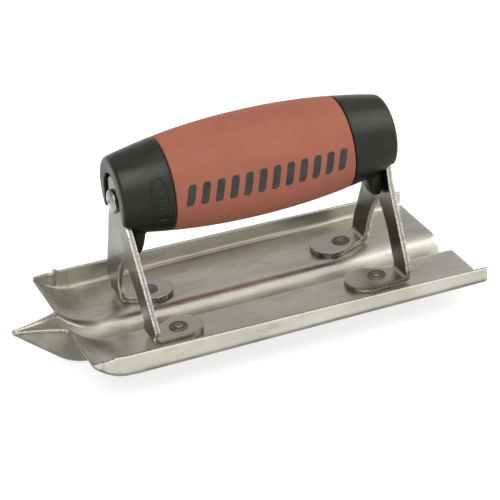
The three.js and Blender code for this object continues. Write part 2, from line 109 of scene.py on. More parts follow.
# Handle
HANDLE_LENGTH = 106.6
HANDLE_MAX_RADIUS = 19.6
HANDLE_END_RADIUS = 13.8
BARREL_POWER = 2.1
CAP_EDGE = 2.0
GRIP_LENGTH = 69.0
GRIP_WALL = 3.0
GRIP_EDGE_ROUND = 0.5
SLOT_MARGIN = 2.6
SLOT_TOP_GAP = 1.2
SLOT_SHOULDER_GAP = 1.0
SLOT_REACH = 24.0
BORE_MARGIN = 2.0
CORE_VOXEL = 0.42
SCREW_HEIGHT = 50.2
SCREW_HEAD_RADIUS = 4.5
SCREW_HEAD_HEIGHT = 2.2
SCREW_SHANK_RADIUS = 2.0
SCREW_SHANK_LENGTH = 20.0
SCREW_POINT_RADIUS = 1.0
SCREW_POINT_LENGTH = 2.0
SCREW_RIM_ROUND = 0.2
SCREW_RIM_SHARE = 0.3
SCREW_TURN = 0.6
SCREW_EDGE_ROUND = 0.12
RECESS_FLOOR = (0.55, 1.1, 0.75)
RECESS_MOUTH_LENGTH = 2.7
RECESS_MOUTH_WIDTH = 1.15
RECESS_MARGIN = 0.3
RIVET_SHANK_RADIUS = 2.0
RIVET_HEAD_RADIUS = 3.5
RIVET_HEAD_HEIGHT = 0.9
RIVET_BUTTON_SHARE = 0.49
RIVET_EDGE_ROUND = 0.3
RIVET_BRIM = 0.1
RIVET_DISH = 0.3
RIVET_BUTTON_POWER = 0.6
GAP = 0.3
TOUCH = 0.05

# Places, from the frame
plate_low, plate_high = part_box("groover_plate")
REAR_X = plate_high.x / MM
FRONT_X = plate_low.x / MM
BEAK_X = FRONT_X + SHEET / 2 * math.sin(KEEL_SLOPE)
WING_FRONT_X = REAR_X - WING_LENGTH
SLED_X = WING_FRONT_X + SLED_LENGTH
grip_low, grip_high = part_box("grip_sleeve")
HANDLE_X = (grip_low.x + grip_high.x) / 2 / MM
HANDLE_Z = (grip_low.z + grip_high.z) / 2 / MM
WING_UNDER = BIT_DEPTH
WING_TOP = BIT_DEPTH + SHEET
WING_MID = BIT_DEPTH + SHEET / 2
HALF_WIDTH = (PLATE_WIDTH - SHEET) / 2


def mix(a, b, share):
    return a + (b - a) * share


def clamp(value, low=0.0, high=1.0):
    return max(low, min(high, value))


def smooth(value):
    share = clamp(value)
    return share * share * (3 - 2 * share)


# ---- Meshes


def new_piece(name, points, faces, shares=None, sharp_angle=None):
    """An object at the origin from points in millimetres. shares names point attributes: edge is
    1 along worn edges, rim is 1 halfway through a cut sheet's thickness."""
    mesh = bpy.data.meshes.new(name)
    mesh.from_pydata([Vector(p) * MM for p in points], [], faces)
    for share_name, values in (shares or {}).items():
        layer = mesh.attributes.new(share_name, "FLOAT", "POINT")
        layer.data.foreach_set("value", values)
    mesh.validate()
    mesh.shade_smooth()
    if sharp_angle is not None:
        mesh.set_sharp_from_angle(angle=math.radians(sharp_angle))
    piece = bpy.data.objects.new(name, mesh)
    bpy.context.scene.collection.objects.link(piece)
    return piece


def finish_piece(piece, material, slot, *nodes):
    """Gives a piece its material and its body, and hides the CAD nodes it stands for. The slot
    argument is not used.
    """
    piece.data.materials.clear()
    piece.data.materials.append(material)
    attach(piece, "root")
    if nodes:
        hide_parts(*nodes)
    return piece


def bake_modifiers(piece):
    """Replaces a piece's mesh by what its modifiers make of it, and drops the modifiers."""
    bpy.context.view_layer.update()
    graph = bpy.context.evaluated_depsgraph_get()
    made = bpy.data.meshes.new_from_object(piece.evaluated_get(graph), depsgraph=graph)
    piece.modifiers.clear()
    piece.data = made


def thickened(points, faces, thickness, bevel, bevel_steps=2):
    """A closed sheet round a middle surface, with a rounded rim. Returns points, faces and the
    edge and rim shares of the points."""
    half = thickness / 2
    points = [Vector(p) for p in points]
    normals = [Vector((0, 0, 0)) for _ in points]
    directed = set()
    for face in faces:
        a, b, c, d = (points[i] for i in face)
        normal = (c - a).cross(d - b)
        for i, start in enumerate(face):
            normals[start] += normal
            directed.add((start, face[(i + 1) % 4]))
    normals = [n.normalized() for n in normals]
    following = {a: b for a, b in directed if (b, a) not in directed}
    leading = {b: a for a, b in following.items()}
    top = [p + n * half for p, n in zip(points, normals)]
    bottom = [p - n * half for p, n in zip(points, normals)]
    made = top + bottom
    count = len(points)
    edge = [0.0] * (2 * count)
    rim = [0.0] * (2 * count)
    rings = {}
    for here in following:
        normal = normals[here]
        before = (points[here] - points[leading[here]]).cross(normal).normalized()
        after = (points[following[here]] - points[here]).cross(normal).normalized()
        out = (before + after).normalized()
        out *= min(1 / max(out.dot(before), 0.5), 1.6)
        made[here] = points[here] - out * bevel + normal * half
        made[here + count] = points[here] - out * bevel - normal * half
        edge[here] = edge[here + count] = 0.4
        ring = [here]
        for side in (1, 0, -1):
            if side == 0:
                ring.append(len(made))
                made.append(points[here])
                edge.append(0.0)
                rim.append(1.0)
                continue
            steps = range(1, bevel_steps + 1)
            for step in steps if side > 0 else reversed(steps):
                angle = step / bevel_steps * math.pi / 2
                outward = bevel * (math.sin(angle) - 1)
                upward = half - bevel * (1 - math.cos(angle))
                ring.append(len(made))
                made.append(points[here] + out * outward + normal * upward * side)
                edge.append(1.0)
                rim.append(0.0)
        ring.append(here + count)
        rings[here] = ring
    closed = [tuple(face) for face in faces]
    closed += [tuple(i + count for i in reversed(face)) for face in faces]
    for a, b in following.items():
        for k in range(len(rings[a]) - 1):
            closed.append((rings[b][k], rings[a][k], rings[a][k + 1], rings[b][k + 1]))
    return made, closed, {"edge": edge, "rim": rim}


def lathe(profile, segments, place, closed_profile=False):
    """Points and faces of a profile of (radius, height) turned about +Z, then moved by the
    matrix place. The profile runs so that its outside is on its right-hand side."""
    points = []
    rings = []
    for radius, height in profile:
        if radius < 1e-6:
            rings.append([len(points)] * segments)
            points.append(place @ Vector((0, 0, height)))
            continue
        rings.append(list(range(len(points), len(points) + segments)))
        for i in range(segments):
            angle = 2 * math.pi * i / segments
            points.append(place @ Vector((
                radius * math.cos(angle), radius * math.sin(angle), height)))
    faces = []
    pairs = list(zip(rings, rings[1:]))
    if closed_profile:
        pairs.append((rings[-1], rings[0]))
    for low, high in pairs:
        for i in range(segments):
            j = (i + 1) % segments
            face = [low[i], low[j], high[j], high[i]]
            face = [v for k, v in enumerate(face) if v not in face[:k]]
            faces.append(tuple(face))
    return points, faces


def tube(path, radius, sides=10, closed=True):
    """Points and faces of a round tube along a path; an open tube ends in round tips."""
    points = []
    faces = []
    count = len(path)
    for i, point in enumerate(path):
        before = path[i - 1] if closed or i > 0 else point
        after = path[(i + 1) % count] if closed or i < count - 1 else point
        along = (after - before).normalized()
        side = along.cross(Vector((0, 0, 1)) if abs(along.z) < 0.9 else Vector((1, 0, 0)))
        side.normalize()
        other = along.cross(side)
        width = radius
        if not closed:
            from_end = min(i, count - 1 - i) / max(count - 1, 1) * 2
            width = radius * math.sqrt(max(1 - (1 - min(from_end * 3, 1)) ** 2, 0.02))
        for k in range(sides):
            angle = 2 * math.pi * k / sides
            points.append(point + (side * math.cos(angle) + other * math.sin(angle)) * width)
    for i in range(count if closed else count - 1):
        j = (i + 1) % count
        for k in range(sides):
            m = (k + 1) % sides
            faces.append((i * sides + k, i * sides + m, j * sides + m, j * sides + k))
    if not closed:
        faces.append(tuple(reversed(range(sides))))
        faces.append(tuple(range((count - 1) * sides, count * sides)))
    return points, faces


def append(points, faces, more):
    """Adds another mesh's points and faces to the lists."""
    base = len(points)
    points.extend(more[0])
    faces.extend(tuple(i + base for i in face) for face in more[1])


# ---- Plate


def arc_climb(radius, distance):
    return radius - math.sqrt(max(radius * radius - distance * distance, 0))


def wing_height(x):
    return WING_MID + arc_climb(SLED_RADIUS, clamp(SLED_X - x, 0, SLED_LENGTH))


def keel_height(x):
    arc_run = KEEL_RADIUS * math.sin(KEEL_SLOPE)
    run = max(BEAK_X + KEEL_RISE_LENGTH - x, 0)
    straight = max(run - arc_run, 0)
    climb = arc_climb(KEEL_RADIUS, min(run, arc_run))
    return SHEET / 2 + climb + straight * math.tan(KEEL_SLOPE)


def section_at(x):
    """The sizes of the sheet's cross-section at one place along the tool."""
    flare = smooth((SLED_X - x) / SLED_LENGTH)
    beak = clamp((WING_FRONT_X - x) / (WING_FRONT_X - BEAK_X))
    edge = wing_height(x)
    along = (x - SLED_X) / (REAR_X - SLED_X)
    flange_top = WING_UNDER + mix(FLANGE_FRONT, FLANGE_REAR, max(along, 0))
    taper = (1 - beak) ** BEAK_HOLLOW
    half_width = mix(BIT_HALF_WIDTH, NOTCH_HALF_WIDTH, flare)
    rim = mix(RIM_RADIUS, NOTCH_RIM_RADIUS, flare)
    return {
        "keel": keel_height(x),
        "edge": mix(edge, keel_height(BEAK_X) + BEAK_TIP_HEIGHT, beak),
        "tip": mix(BIT_TIP_RADIUS - SHEET / 2, BEAK_TIP_RADIUS, beak),
        "half": mix(BEAK_TIP_HALF_WIDTH, half_width, taper),
        "rim": mix(rim, BEAK_RIM_RADIUS, math.sqrt(beak)),
        "top": max(flange_top, edge + CORNER_FLANGE),
        "bend": mix(FLANGE_BEND, CORNER_BEND, flare),
    }


def bit_point(section, share):
    centre = section["keel"] + section["tip"]
    rise = section["edge"] - centre
    reach = math.hypot(section["half"], rise)
    touch = math.atan2(rise, section["half"]) - math.acos(clamp(section["tip"] / reach))
    wall = touch + math.pi / 2
    trim = section["rim"] * math.tan(wall / 2)
    start = (section["tip"] * math.cos(touch), centre + section["tip"] * math.sin(touch))
    end = (
        section["half"] - trim * math.cos(wall),
        section["edge"] - trim * math.sin(wall),
    )
    if share <= TIP_SHARE:
        angle = mix(-math.pi / 2, touch, share / TIP_SHARE)
        return section["tip"] * math.cos(angle), centre + section["tip"] * math.sin(angle)
    if share <= WALL_SHARE:
        along = (share - TIP_SHARE) / (WALL_SHARE - TIP_SHARE)
        return mix(start[0], end[0], along), mix(start[1], end[1], along)
    angle = mix(wall, 0, (share - WALL_SHARE) / (1 - WALL_SHARE))
    return (
        section["half"] + trim - section["rim"] * math.sin(angle),
        section["edge"] - section["rim"] * (1 - math.cos(angle)),
    )


def wing_point(section, share):
    rim = bit_point(section, 1)
    bend_y = HALF_WIDTH - section["bend"]
    bend_z = section["edge"] + section["bend"]
    if share <= WING_SHARE:
        return mix(rim[0], bend_y, share / WING_SHARE), section["edge"]
    if share <= BEND_SHARE:
        angle = (share - WING_SHARE) / (BEND_SHARE - WING_SHARE) * math.pi / 2
        return (
            bend_y + section["bend"] * math.sin(angle),
            bend_z - section["bend"] * math.cos(angle),
        )
    return HALF_WIDTH, mix(bend_z, section["top"], (share - BEND_SHARE) / (1 - BEND_SHARE))


def front_x(bit_share):
    """Where the sheet ends at the front: the beak's tip in the middle, the sled's edge outside."""
    if bit_share >= 1:
        return WING_FRONT_X
    back = max(bit_share - BLUNT_SHARE, 0) / (1 - BLUNT_SHARE)
    return mix(BEAK_X, WING_FRONT_X, back)


def middle_surface(across, along):
    """The sheet's middle surface. across is 0 at the keel, 1 at the bit's rim and 2 at the flange's
    top, negative on the near side; along is 0 at the rear and 1 at the front."""
    bit_share = min(abs(across), 1)
    end = front_x(bit_share)
    straight = min(along / STRAIGHT_SHARE, 1)
    front = max(along - STRAIGHT_SHARE, 0) / (1 - STRAIGHT_SHARE)
    x = mix(mix(REAR_X, SLED_X, straight), end, front)
    section = section_at(x)
    if abs(across) <= 1:
        reach = (WING_FRONT_X - x) / (WING_FRONT_X - BEAK_X)
        edge_share = 1 if x >= WING_FRONT_X else mix(1, BLUNT_SHARE, reach)
        y, z = bit_point(section, min(bit_share / edge_share, 1))
    else:
        y, z = wing_point(section, abs(across) - 1)
    return Vector((x, math.copysign(y, across), z))


def stops(*spans):
    """Numbers from the first span's start to the last one's end, each span divided evenly."""
    made = [spans[0][0]]
    for start, end, count in spans:
        made += [mix(start, end, (i + 1) / count) for i in range(count)]
    return made


CRINKLE_X = WING_FRONT_X + 8.6
CRINKLE_RISE = 1.1
CRINKLE_WIDTH = 0.9
CRINKLE_FAR_SHARE = 1.0
CRINKLE_NEAR_SHARE = 0.35
PUCKER_RISE = 0.5
PUCKER_PULL = 0.55
UNEVEN = 0.16


def handmade(point, across):
    """The small waves of a pressed sheet, and the puckers where a corner was pulled up."""
    x, y, z = point
    moved = point.copy()
    wave = noise.noise(Vector((x * 0.022, y * 0.05, 3.1))) * UNEVEN
    moved.z += wave * clamp((abs(across) - 0.9) * 4)
    outer = clamp((abs(across) - 1 - WING_SHARE * 0.75) / 0.4)
    corner = smooth((CRINKLE_X + 9 - x) / 12) * outer
    pucker = noise.noise(Vector((x * 0.36, y * 0.22, 8.0 + across)))
    moved.z += pucker * PUCKER_RISE * corner
    moved.y -= math.copysign(abs(pucker) * PUCKER_PULL, y) * corner
    peak = math.exp(-((x - CRINKLE_X) / CRINKLE_WIDTH) ** 2)
    top = clamp((abs(across) - 1 - BEND_SHARE + 0.2) / 0.4)
    share = CRINKLE_FAR_SHARE if y > 0 else CRINKLE_NEAR_SHARE
    moved.z += peak * CRINKLE_RISE * top * share
    return moved


def build_plate():
    half = stops(
        (0, TIP_SHARE, 9), (TIP_SHARE, WALL_SHARE, 6), (WALL_SHARE, 1, 14),
        (1, 1 + WING_SHARE, 26), (1 + WING_SHARE, 1 + BEND_SHARE, 10),
        (1 + BEND_SHARE, 2, 8))
    across_stops = [-s for s in reversed(half[1:])] + half
    along_stops = stops((0, STRAIGHT_SHARE, 90), (STRAIGHT_SHARE, 1, 90))
    points = []
    for along in along_stops:
        for across in across_stops:
            points.append(handmade(middle_surface(across, along), across))
    width = len(across_stops)
    faces = []
    for i in range(len(along_stops) - 1):
        for j in range(width - 1):
            corner = i * width + j
            faces.append((corner, corner + 1, corner + 1 + width, corner + width))
    faces = [tuple(reversed(f)) for f in faces]
    made, closed, shares = thickened(points, faces, SHEET, PLATE_EDGE_ROUND)
    return new_piece("plate_sheet", made, closed, shares, 50)


STAMP_COUNT = 13
STAMP_PITCH = 3.6
STAMP_MIDDLE = Vector((10.0, -26.6, 0))
STAMP_HALF_HEIGHT = 1.4
STAMP_SLANT = 0.35
STAMP_RADIUS = 0.3
STAMP_SINK = 0.1
STAMP_STEPS = 8


def build_stamp():
    """A faint row of plain slanted strokes pressed into the near wing."""
    points = []
    faces = []
    wing_across = -(1 + WING_SHARE / 2)
    for index in range(STAMP_COUNT):
        offset = (index - (STAMP_COUNT - 1) / 2) * STAMP_PITCH
        path = []
        for i in range(STAMP_STEPS + 1):
            along = mix(-STAMP_HALF_HEIGHT, STAMP_HALF_HEIGHT, i / STAMP_STEPS)
            spot = STAMP_MIDDLE + Vector((
                offset + along * STAMP_SLANT, along, WING_TOP - STAMP_SINK))
            path.append(handmade(spot, wing_across))
        append(points, faces, tube(path, STAMP_RADIUS, 8, False))
    return new_piece("wing_stamp", points, faces, None, 60)


# ---- Posts


def bezier(a, b, c, share):
    return mix(mix(a, b, share), mix(b, c, share), share)


def on_curve(a, b, c, height):
    """The half-width at a height on a curve through (half-width, height) points a, b and c."""
    low, high = 0.0, 1.0
    for _ in range(30):
        share = (low + high) / 2
        if (bezier(a[1], b[1], c[1], share) < height) == (c[1] > a[1]):
            low = share
        else:
            high = share
    return bezier(a[0], b[0], c[0], low)


def post_edges(post, height):
    """Inner and outer half-widths of a post's upright at a height above the wings."""
    low = SHEET + BEND_HEIGHT
    shoulder = (post["shoulder"], post["shoulder_height"])
    knee = post["knee_outer"]
    if height >= SCREW_HEIGHT:
        share = (height - SCREW_HEIGHT) / (TAB_TOP_HEIGHT - SCREW_HEIGHT)
        outer = TAB_HALF_WIDTH * math.sqrt(max(1 - share ** TAB_POWER, 0))
    elif height >= shoulder[1]:
        waist = (TAB_HALF_WIDTH + 1, TAB_START_HEIGHT)
        outer = on_curve(shoulder, waist, (TAB_HALF_WIDTH, SCREW_HEIGHT), height)
    elif height >= KNEE_HEIGHT:
        share = (height - KNEE_HEIGHT) / (shoulder[1] - KNEE_HEIGHT)
        outer = mix(knee, shoulder[0], share)
    else:
        outer = mix(FOOT_OUTER, knee, smooth((height - low) / (KNEE_HEIGHT - low)))
    if height >= FORK_HEIGHT:
        inner = 0.0
    elif height >= KNEE_HEIGHT:
        bulge = (post["knee_inner"] * FORK_BULGE, FORK_BULGE_HEIGHT)
        inner = on_curve((post["knee_inner"], KNEE_HEIGHT), bulge, (0, FORK_HEIGHT - 1), height)
        inner = max(inner, math.sqrt(FORK_HEIGHT - height) * FORK_CROTCH)
    else:
        inner = mix(NECK_INNER, post["knee_inner"], smooth((height - low) / (KNEE_HEIGHT - low)))
    return inner, outer


def foot_edges(run, from_tip):
    """Inner and outer half-widths of a foot, at a run from the bend and a distance from its
    round tip."""
    if from_tip < FOOT_RADIUS:
        middle = FOOT_OUTER - FOOT_RADIUS
        back = FOOT_RADIUS - from_tip
        half = math.sqrt(max(FOOT_RADIUS ** 2 - back ** 2, 0.36))
        return middle - half, middle + half
    centre = run + from_tip - FOOT_RADIUS
    return mix(NECK_INNER, FOOT_OUTER - 2 * FOOT_RADIUS, run / centre), FOOT_OUTER


def post_path(distance):
    """Where the strap's middle line runs, from the tab's tip at distance 0: x, z, and the height
    above the wings on the upright or None past it. x grows towards the foot's tip."""
    lean = Vector((-math.sin(POST_LEAN), math.cos(POST_LEAN)))
    radius = POST_BEND + STRAP / 2
    turn = math.pi / 2 - POST_LEAN
    upright = TAB_TOP_HEIGHT - SHEET - BEND_HEIGHT
    if distance <= upright:
        start = Vector((BEND_HEIGHT, BEND_HEIGHT)) + Vector((-lean.y, lean.x)) * radius
        point = start + lean * (upright - distance)
        return point.x, point.y, TAB_TOP_HEIGHT - distance
    if distance <= upright + radius * turn:
        angle = math.pi + (distance - upright) / radius + POST_LEAN
        return (
            BEND_HEIGHT + radius * math.cos(angle), BEND_HEIGHT + radius * math.sin(angle), None)
    run = distance - upright - radius * turn
    return BEND_HEIGHT + run, BEND_HEIGHT - radius, None


def build_post(name, end, post):
    upright = TAB_TOP_HEIGHT - SHEET - BEND_HEIGHT
    flat = upright + (POST_BEND + STRAP / 2) * (math.pi / 2 - POST_LEAN)
    run = post["foot_length"] - BEND_HEIGHT
    tab = TAB_TOP_HEIGHT - SCREW_HEIGHT
    tip_steps = 14
    distances = [
        tab * (1 - math.cos(math.pi / 2 * i / tip_steps)) for i in range(1, tip_steps + 1)]
    distances += stops((tab, TAB_TOP_HEIGHT - FORK_HEIGHT - 0.01, 22))[1:]
    distances += stops((TAB_TOP_HEIGHT - FORK_HEIGHT + 0.25, upright - 0.5, 30))
    distances += stops((upright, flat, 10))
    distances += stops((flat, flat + run - FOOT_RADIUS, 6))[1:]
    distances += [
        flat + run - FOOT_RADIUS + FOOT_RADIUS * math.sin(math.pi / 2 * i / tip_steps)
        for i in range(1, tip_steps + 1)]
    columns = 12
    points = []
    rows = {}
    for side in (-1, 1):
        for i, distance in enumerate(distances):
            x, z, height = post_path(distance)
            if height is not None:
                inner, outer = post_edges(post, height)
            elif distance < flat:
                inner, outer = NECK_INNER, FOOT_OUTER
            else:
                inner, outer = foot_edges(distance - flat, flat + run - distance)
            row = []
            for k in range(columns + 1):
                if side > 0 and k == 0 and inner == 0.0:
                    row.append(rows[-1, i][0])
                    continue
                y = side * mix(inner, outer, k / columns)
                row.append(len(points))
                points.append(Vector((
                    HANDLE_X + end * (POST_SPACING / 2 - x), y, WING_TOP + TOUCH + z)))
            rows[side, i] = row
    faces = []
    for side in (-1, 1):
        for i in range(len(distances) - 1):
            a, b = rows[side, i], rows[side, i + 1]
            for k in range(columns):
                face = (a[k], a[k + 1], b[k + 1], b[k])
                faces.append(face if side * end > 0 else tuple(reversed(face)))
    made, closed, shares = thickened(points, faces, STRAP, POST_EDGE_ROUND)
    return new_piece(name, made, closed, shares, 40)


# ---- Rivets and screws


def build_rivet(name, node):
    low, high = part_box(node)
    place = Matrix.Translation(((low.x + high.x) / 2 / MM, (low.y + high.y) / 2 / MM, low.z / MM))
    seat = SHEET + STRAP + TOUCH * 2
    rim = RIVET_HEAD_RADIUS
    top = RIVET_HEAD_HEIGHT
    profile = [(0, 0), (RIVET_SHANK_RADIUS, 0), (RIVET_SHANK_RADIUS, seat), (rim, seat)]
    profile += [
        (rim - RIVET_EDGE_ROUND * (1 - math.cos(t)),
         seat + RIVET_BRIM + RIVET_EDGE_ROUND * math.sin(t))
        for t in (0, 0.5, 1.0, math.pi / 2)]
    button = rim * RIVET_BUTTON_SHARE
    profile += [(rim * 0.76, seat + 0.4), (rim * 0.66, seat + 0.32), (rim * 0.58, seat + 0.28)]
    steps = 8
    profile += [
        (button * math.cos(t) ** RIVET_BUTTON_POWER,
         seat + RIVET_DISH + (top - RIVET_DISH) * math.sin(t))
        for t in (i / steps * math.pi / 2 for i in range(steps))]
    profile.append((0, seat + top))
    segments = 56
    points, faces = lathe(profile, segments, place)
    middle = place.translation
    share = [
        1.0 if math.hypot(p.x - middle.x, p.y - middle.y) < button + 0.1 else 0.0
        for p in points]
    return new_piece(name, points, faces, {"edge": share}, 45)


def build_screw(name, node, end):
    low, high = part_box(node)
    seat_x = (high.x / MM - SCREW_HEAD_HEIGHT) if end > 0 else (low.x / MM + SCREW_HEAD_HEIGHT)
    place = Matrix.Translation((seat_x, 0, (low.z + high.z) / 2 / MM))
    place @= Matrix.Rotation(end * math.pi / 2, 4, "Y")
    head, top = SCREW_HEAD_RADIUS, SCREW_HEAD_HEIGHT
    profile = [(0, -SCREW_SHANK_LENGTH), (SCREW_POINT_RADIUS, -SCREW_SHANK_LENGTH)]
    profile += [
        (SCREW_SHANK_RADIUS, SCREW_POINT_LENGTH - SCREW_SHANK_LENGTH), (SCREW_SHANK_RADIUS, 0)]
    profile += [
        (head - SCREW_RIM_ROUND, 0), (head, SCREW_RIM_ROUND), (head, top * SCREW_RIM_SHARE)]
    steps = 12
    for i in range(1, steps + 1):
        angle = i / steps * math.pi / 2
        dome = SCREW_RIM_SHARE + (1 - SCREW_RIM_SHARE) * math.sin(angle)
        profile.append((head * math.cos(angle), top * dome))
    profile[-1] = (0, top)
    points, faces = lathe(profile, 64, place)
    screw = new_piece(name, points, faces, None, 40)
    arm_points = []
    arm_faces = []
    mouth = (top + RECESS_MARGIN, RECESS_MOUTH_LENGTH, RECESS_MOUTH_WIDTH)
    for turn in (SCREW_TURN, SCREW_TURN + math.pi / 2):
        for z, length, width in (RECESS_FLOOR, mouth):
            for sx, sy in ((1, 1), (-1, 1), (-1, -1), (1, -1)):
                corner = Vector((sx * length, sy * width / 2, z))
                arm_points.append(place @ (Matrix.Rotation(turn, 4, "Z") @ corner))
    for base in (0, 8):
        for a, b, c, d in (
                (3, 2, 1, 0), (4, 5, 6, 7), (0, 1, 5, 4), (1, 2, 6, 5), (2, 3, 7, 6),
                (3, 0, 4, 7)):
            arm_faces.append((base + a, base + b, base + c, base + d))
    cutter = new_piece(name + "_recess", arm_points, arm_faces)
    cut = screw.modifiers.new("recess", "BOOLEAN")
    cut.object = cutter
    cut.operation = "DIFFERENCE"
    cut.solver = "EXACT"
    cut.use_self = True
    bevel = screw.modifiers.new("soft", "BEVEL")
    bevel.width = SCREW_EDGE_ROUND * MM
    bevel.segments = 2
    bevel.limit_method = "ANGLE"
    bevel.angle_limit = math.radians(38)
    bake_modifiers(screw)
    bpy.data.objects.remove(cutter)
    screw.data.shade_smooth()
    screw.data.set_sharp_from_angle(angle=math.radians(40))
    return screw


# ---- Handle


def barrel_radius(distance):
    share = abs(distance) / (HANDLE_LENGTH / 2)
    return HANDLE_MAX_RADIUS - (HANDLE_MAX_RADIUS - HANDLE_END_RADIUS) * share ** BARREL_POWER


def barrel_profile(start, end, steps, inset=0.0):
    made = []
    for i in range(steps + 1):
        distance = mix(start, end, i / steps)
        made.append((barrel_radius(distance) - inset, distance))
    return made


def round_corner(radius, half, edge, steps):
    """The rounded corner at a turned shape's low end, from the end face outwards."""
    made = []
    for i in range(steps + 1):
        angle = i / steps * math.pi / 2
        made.append((radius - edge * (1 - math.sin(angle)), edge * (1 - math.cos(angle)) - half))
    return made


def handle_matrix():
    """Turns a lathe's +Z to run along +X through the middle of the handle."""
    place = Matrix.Translation((HANDLE_X, 0, HANDLE_Z))
    return place @ Matrix.Rotation(math.pi / 2, 4, "Y")


def build_grip():
    half = GRIP_LENGTH / 2
    edge = GRIP_EDGE_ROUND
    corner = round_corner(barrel_radius(half), half, edge, 4)
    profile = [(barrel_radius(half) - GRIP_WALL, -half)] + corner
    profile += barrel_profile(-half + edge, half - edge, 60)[1:-1]
    profile += [(radius, -height) for radius, height in reversed(corner)]
    profile += barrel_profile(half, -half, 12, GRIP_WALL)[:-1]
    points, faces = lathe(profile, 144, handle_matrix(), True)
    return new_piece("grip_skin", points, faces, None, 50)


def extruded(outline, start, end):
    """Points and faces of an outline of (y, z) pairs extruded along X from start to end."""
    count = len(outline)
    points = [Vector((start, y, z)) for y, z in outline]
    points += [Vector((end, y, z)) for y, z in outline]
    faces = [tuple(reversed(range(count))), tuple(range(count, 2 * count))]
    for i in range(count):
        j = (i + 1) % count
        faces.append((i, j, j + count, i + count))
    return points, faces


def slot_outline():
    """The slot's outline, heights above the wings."""
    half = TAB_HALF_WIDTH + SLOT_MARGIN
    top = TAB_TOP_HEIGHT + SLOT_TOP_GAP
    shoulder = FRONT_POST["shoulder"] + SLOT_SHOULDER_GAP
    shoulder_height = FRONT_POST["shoulder_height"]
    right = [
        (FRONT_POST["knee_outer"] + SLOT_SHOULDER_GAP, KNEE_HEIGHT), (shoulder, shoulder_height)]
    steps = 10
    for i in range(1, steps + 1):
        share = i / steps
        right.append((
            bezier(shoulder, half, half, share),
            bezier(shoulder_height, TAB_START_HEIGHT, SCREW_HEIGHT, share)))
    for i in range(1, steps):
        angle = i / steps * math.pi / 2
        right.append((
            half * math.cos(angle),
            SCREW_HEIGHT + (top - SCREW_HEIGHT) * math.sin(angle)))
    left = [(-y, z) for y, z in reversed(right)]
    return right + [(0, top)] + left


# The lug's levels from the top down: height above the wings, half-width, depth
TONGUE_LEVELS = (
    (47.0, 8.2, 7.6), (41.5, 7.7, 7.2), (38.6, 7.3, 6.6), (36.0, 7.0, 5.9),
    (33.2, 6.6, 5.1), (31.2, 6.0, 4.4), (30.0, 5.2, 3.8), (29.4, 4.0, 3.0))
TONGUE_DEPTH_POWER = 0.55
TONGUE_WIDTH_POWER = 0.6


def tongue_mesh(back):
    """The lug behind a post, for the rear end; it narrows downwards in both directions."""
    points = []
    sides = 20
    for height, half_width, depth in TONGUE_LEVELS:
        for k in range(sides):
            angle = 2 * math.pi * k / sides
            c, s = math.cos(angle), math.sin(angle)
            x = math.copysign(abs(c) ** TONGUE_DEPTH_POWER, c) * depth / 2 - depth / 2
            y = math.copysign(abs(s) ** TONGUE_WIDTH_POWER, s) * half_width
            lean = (height - SCREW_HEIGHT) * math.tan(POST_LEAN)
            points.append(Vector((back + x + lean, y, height + WING_UNDER)))
    faces = [tuple(range(sides)), tuple(reversed(range(len(points) - sides, len(points))))]
    for i in range(len(TONGUE_LEVELS) - 1):
        for k in range(sides):
            m = (k + 1) % sides
            faces.append((
                (i + 1) * sides + k, (i + 1) * sides + m, i * sides + m, i * sides + k))
    return points, faces


def mirrored(points, faces):
    """The same shape at the handle's other end."""
    return (
        [Vector((2 * HANDLE_X - p.x, p.y, p.z)) for p in points],
        [tuple(reversed(f)) for f in faces])


def build_core():
    half = HANDLE_LENGTH / 2
    grip = GRIP_LENGTH / 2 + GAP
    profile = [(0, -half)]
    profile += round_corner(barrel_radius(half - CAP_EDGE), half, CAP_EDGE, 8)
    profile += barrel_profile(-half + CAP_EDGE, -grip, 10)[1:]
    cap = list(profile)
    profile += barrel_profile(-grip, grip, 8, GRIP_WALL + GAP)
    profile += [(radius, -height) for radius, height in reversed(cap)]
    points, faces = lathe(profile, 128, handle_matrix())
    core = new_piece("core_body", points, faces)
    post_face = HANDLE_X + POST_SPACING / 2
    post_face += (SCREW_HEIGHT - SHEET - BEND_HEIGHT) * math.tan(POST_LEAN)
    back = post_face - STRAP - GAP
    slot_points, slot_faces = extruded(slot_outline(), 0, SLOT_REACH)
    tilt = Matrix.Translation((back, 0, SCREW_HEIGHT + WING_UNDER))
    tilt @= Matrix.Rotation(POST_LEAN, 4, "Y")
    tilt @= Matrix.Translation((0, 0, -SCREW_HEIGHT))
    slot_points = [tilt @ p for p in slot_points]
    shank = SCREW_SHANK_LENGTH + BORE_MARGIN
    bore_place = Matrix.Translation((HANDLE_X + half - shank, 0, SCREW_HEIGHT + WING_UNDER))
    bore_place @= Matrix.Rotation(math.pi / 2, 4, "Y")
    bore_radius = SCREW_SHANK_RADIUS + GAP
    bore = lathe([(0, 0), (bore_radius, 0), (bore_radius, shank), (0, shank)], 24, bore_place)
    tools = []
    for kind, (shape_points, shape_faces) in (
            ("UNION", tongue_mesh(back)), ("DIFFERENCE", (slot_points, slot_faces)),
            ("DIFFERENCE", bore)):
        for end in (1, -1):
            made = (shape_points, shape_faces)
            if end < 0:
                made = mirrored(*made)
            tool = new_piece("tool", *made)
            tools.append(tool)
            step = core.modifiers.new("step", "BOOLEAN")
            step.object = tool
            step.operation = kind
            step.solver = "EXACT"
    remesh = core.modifiers.new("remesh", "REMESH")
    remesh.mode = "VOXEL"
    remesh.voxel_size = CORE_VOXEL * MM
    soften = core.modifiers.new("soften", "SMOOTH")
    soften.factor = 0.5
    soften.iterations = 4
    bake_modifiers(core)
    for tool in tools:
        bpy.data.objects.remove(tool)
    core.data.shade_smooth()
    return core


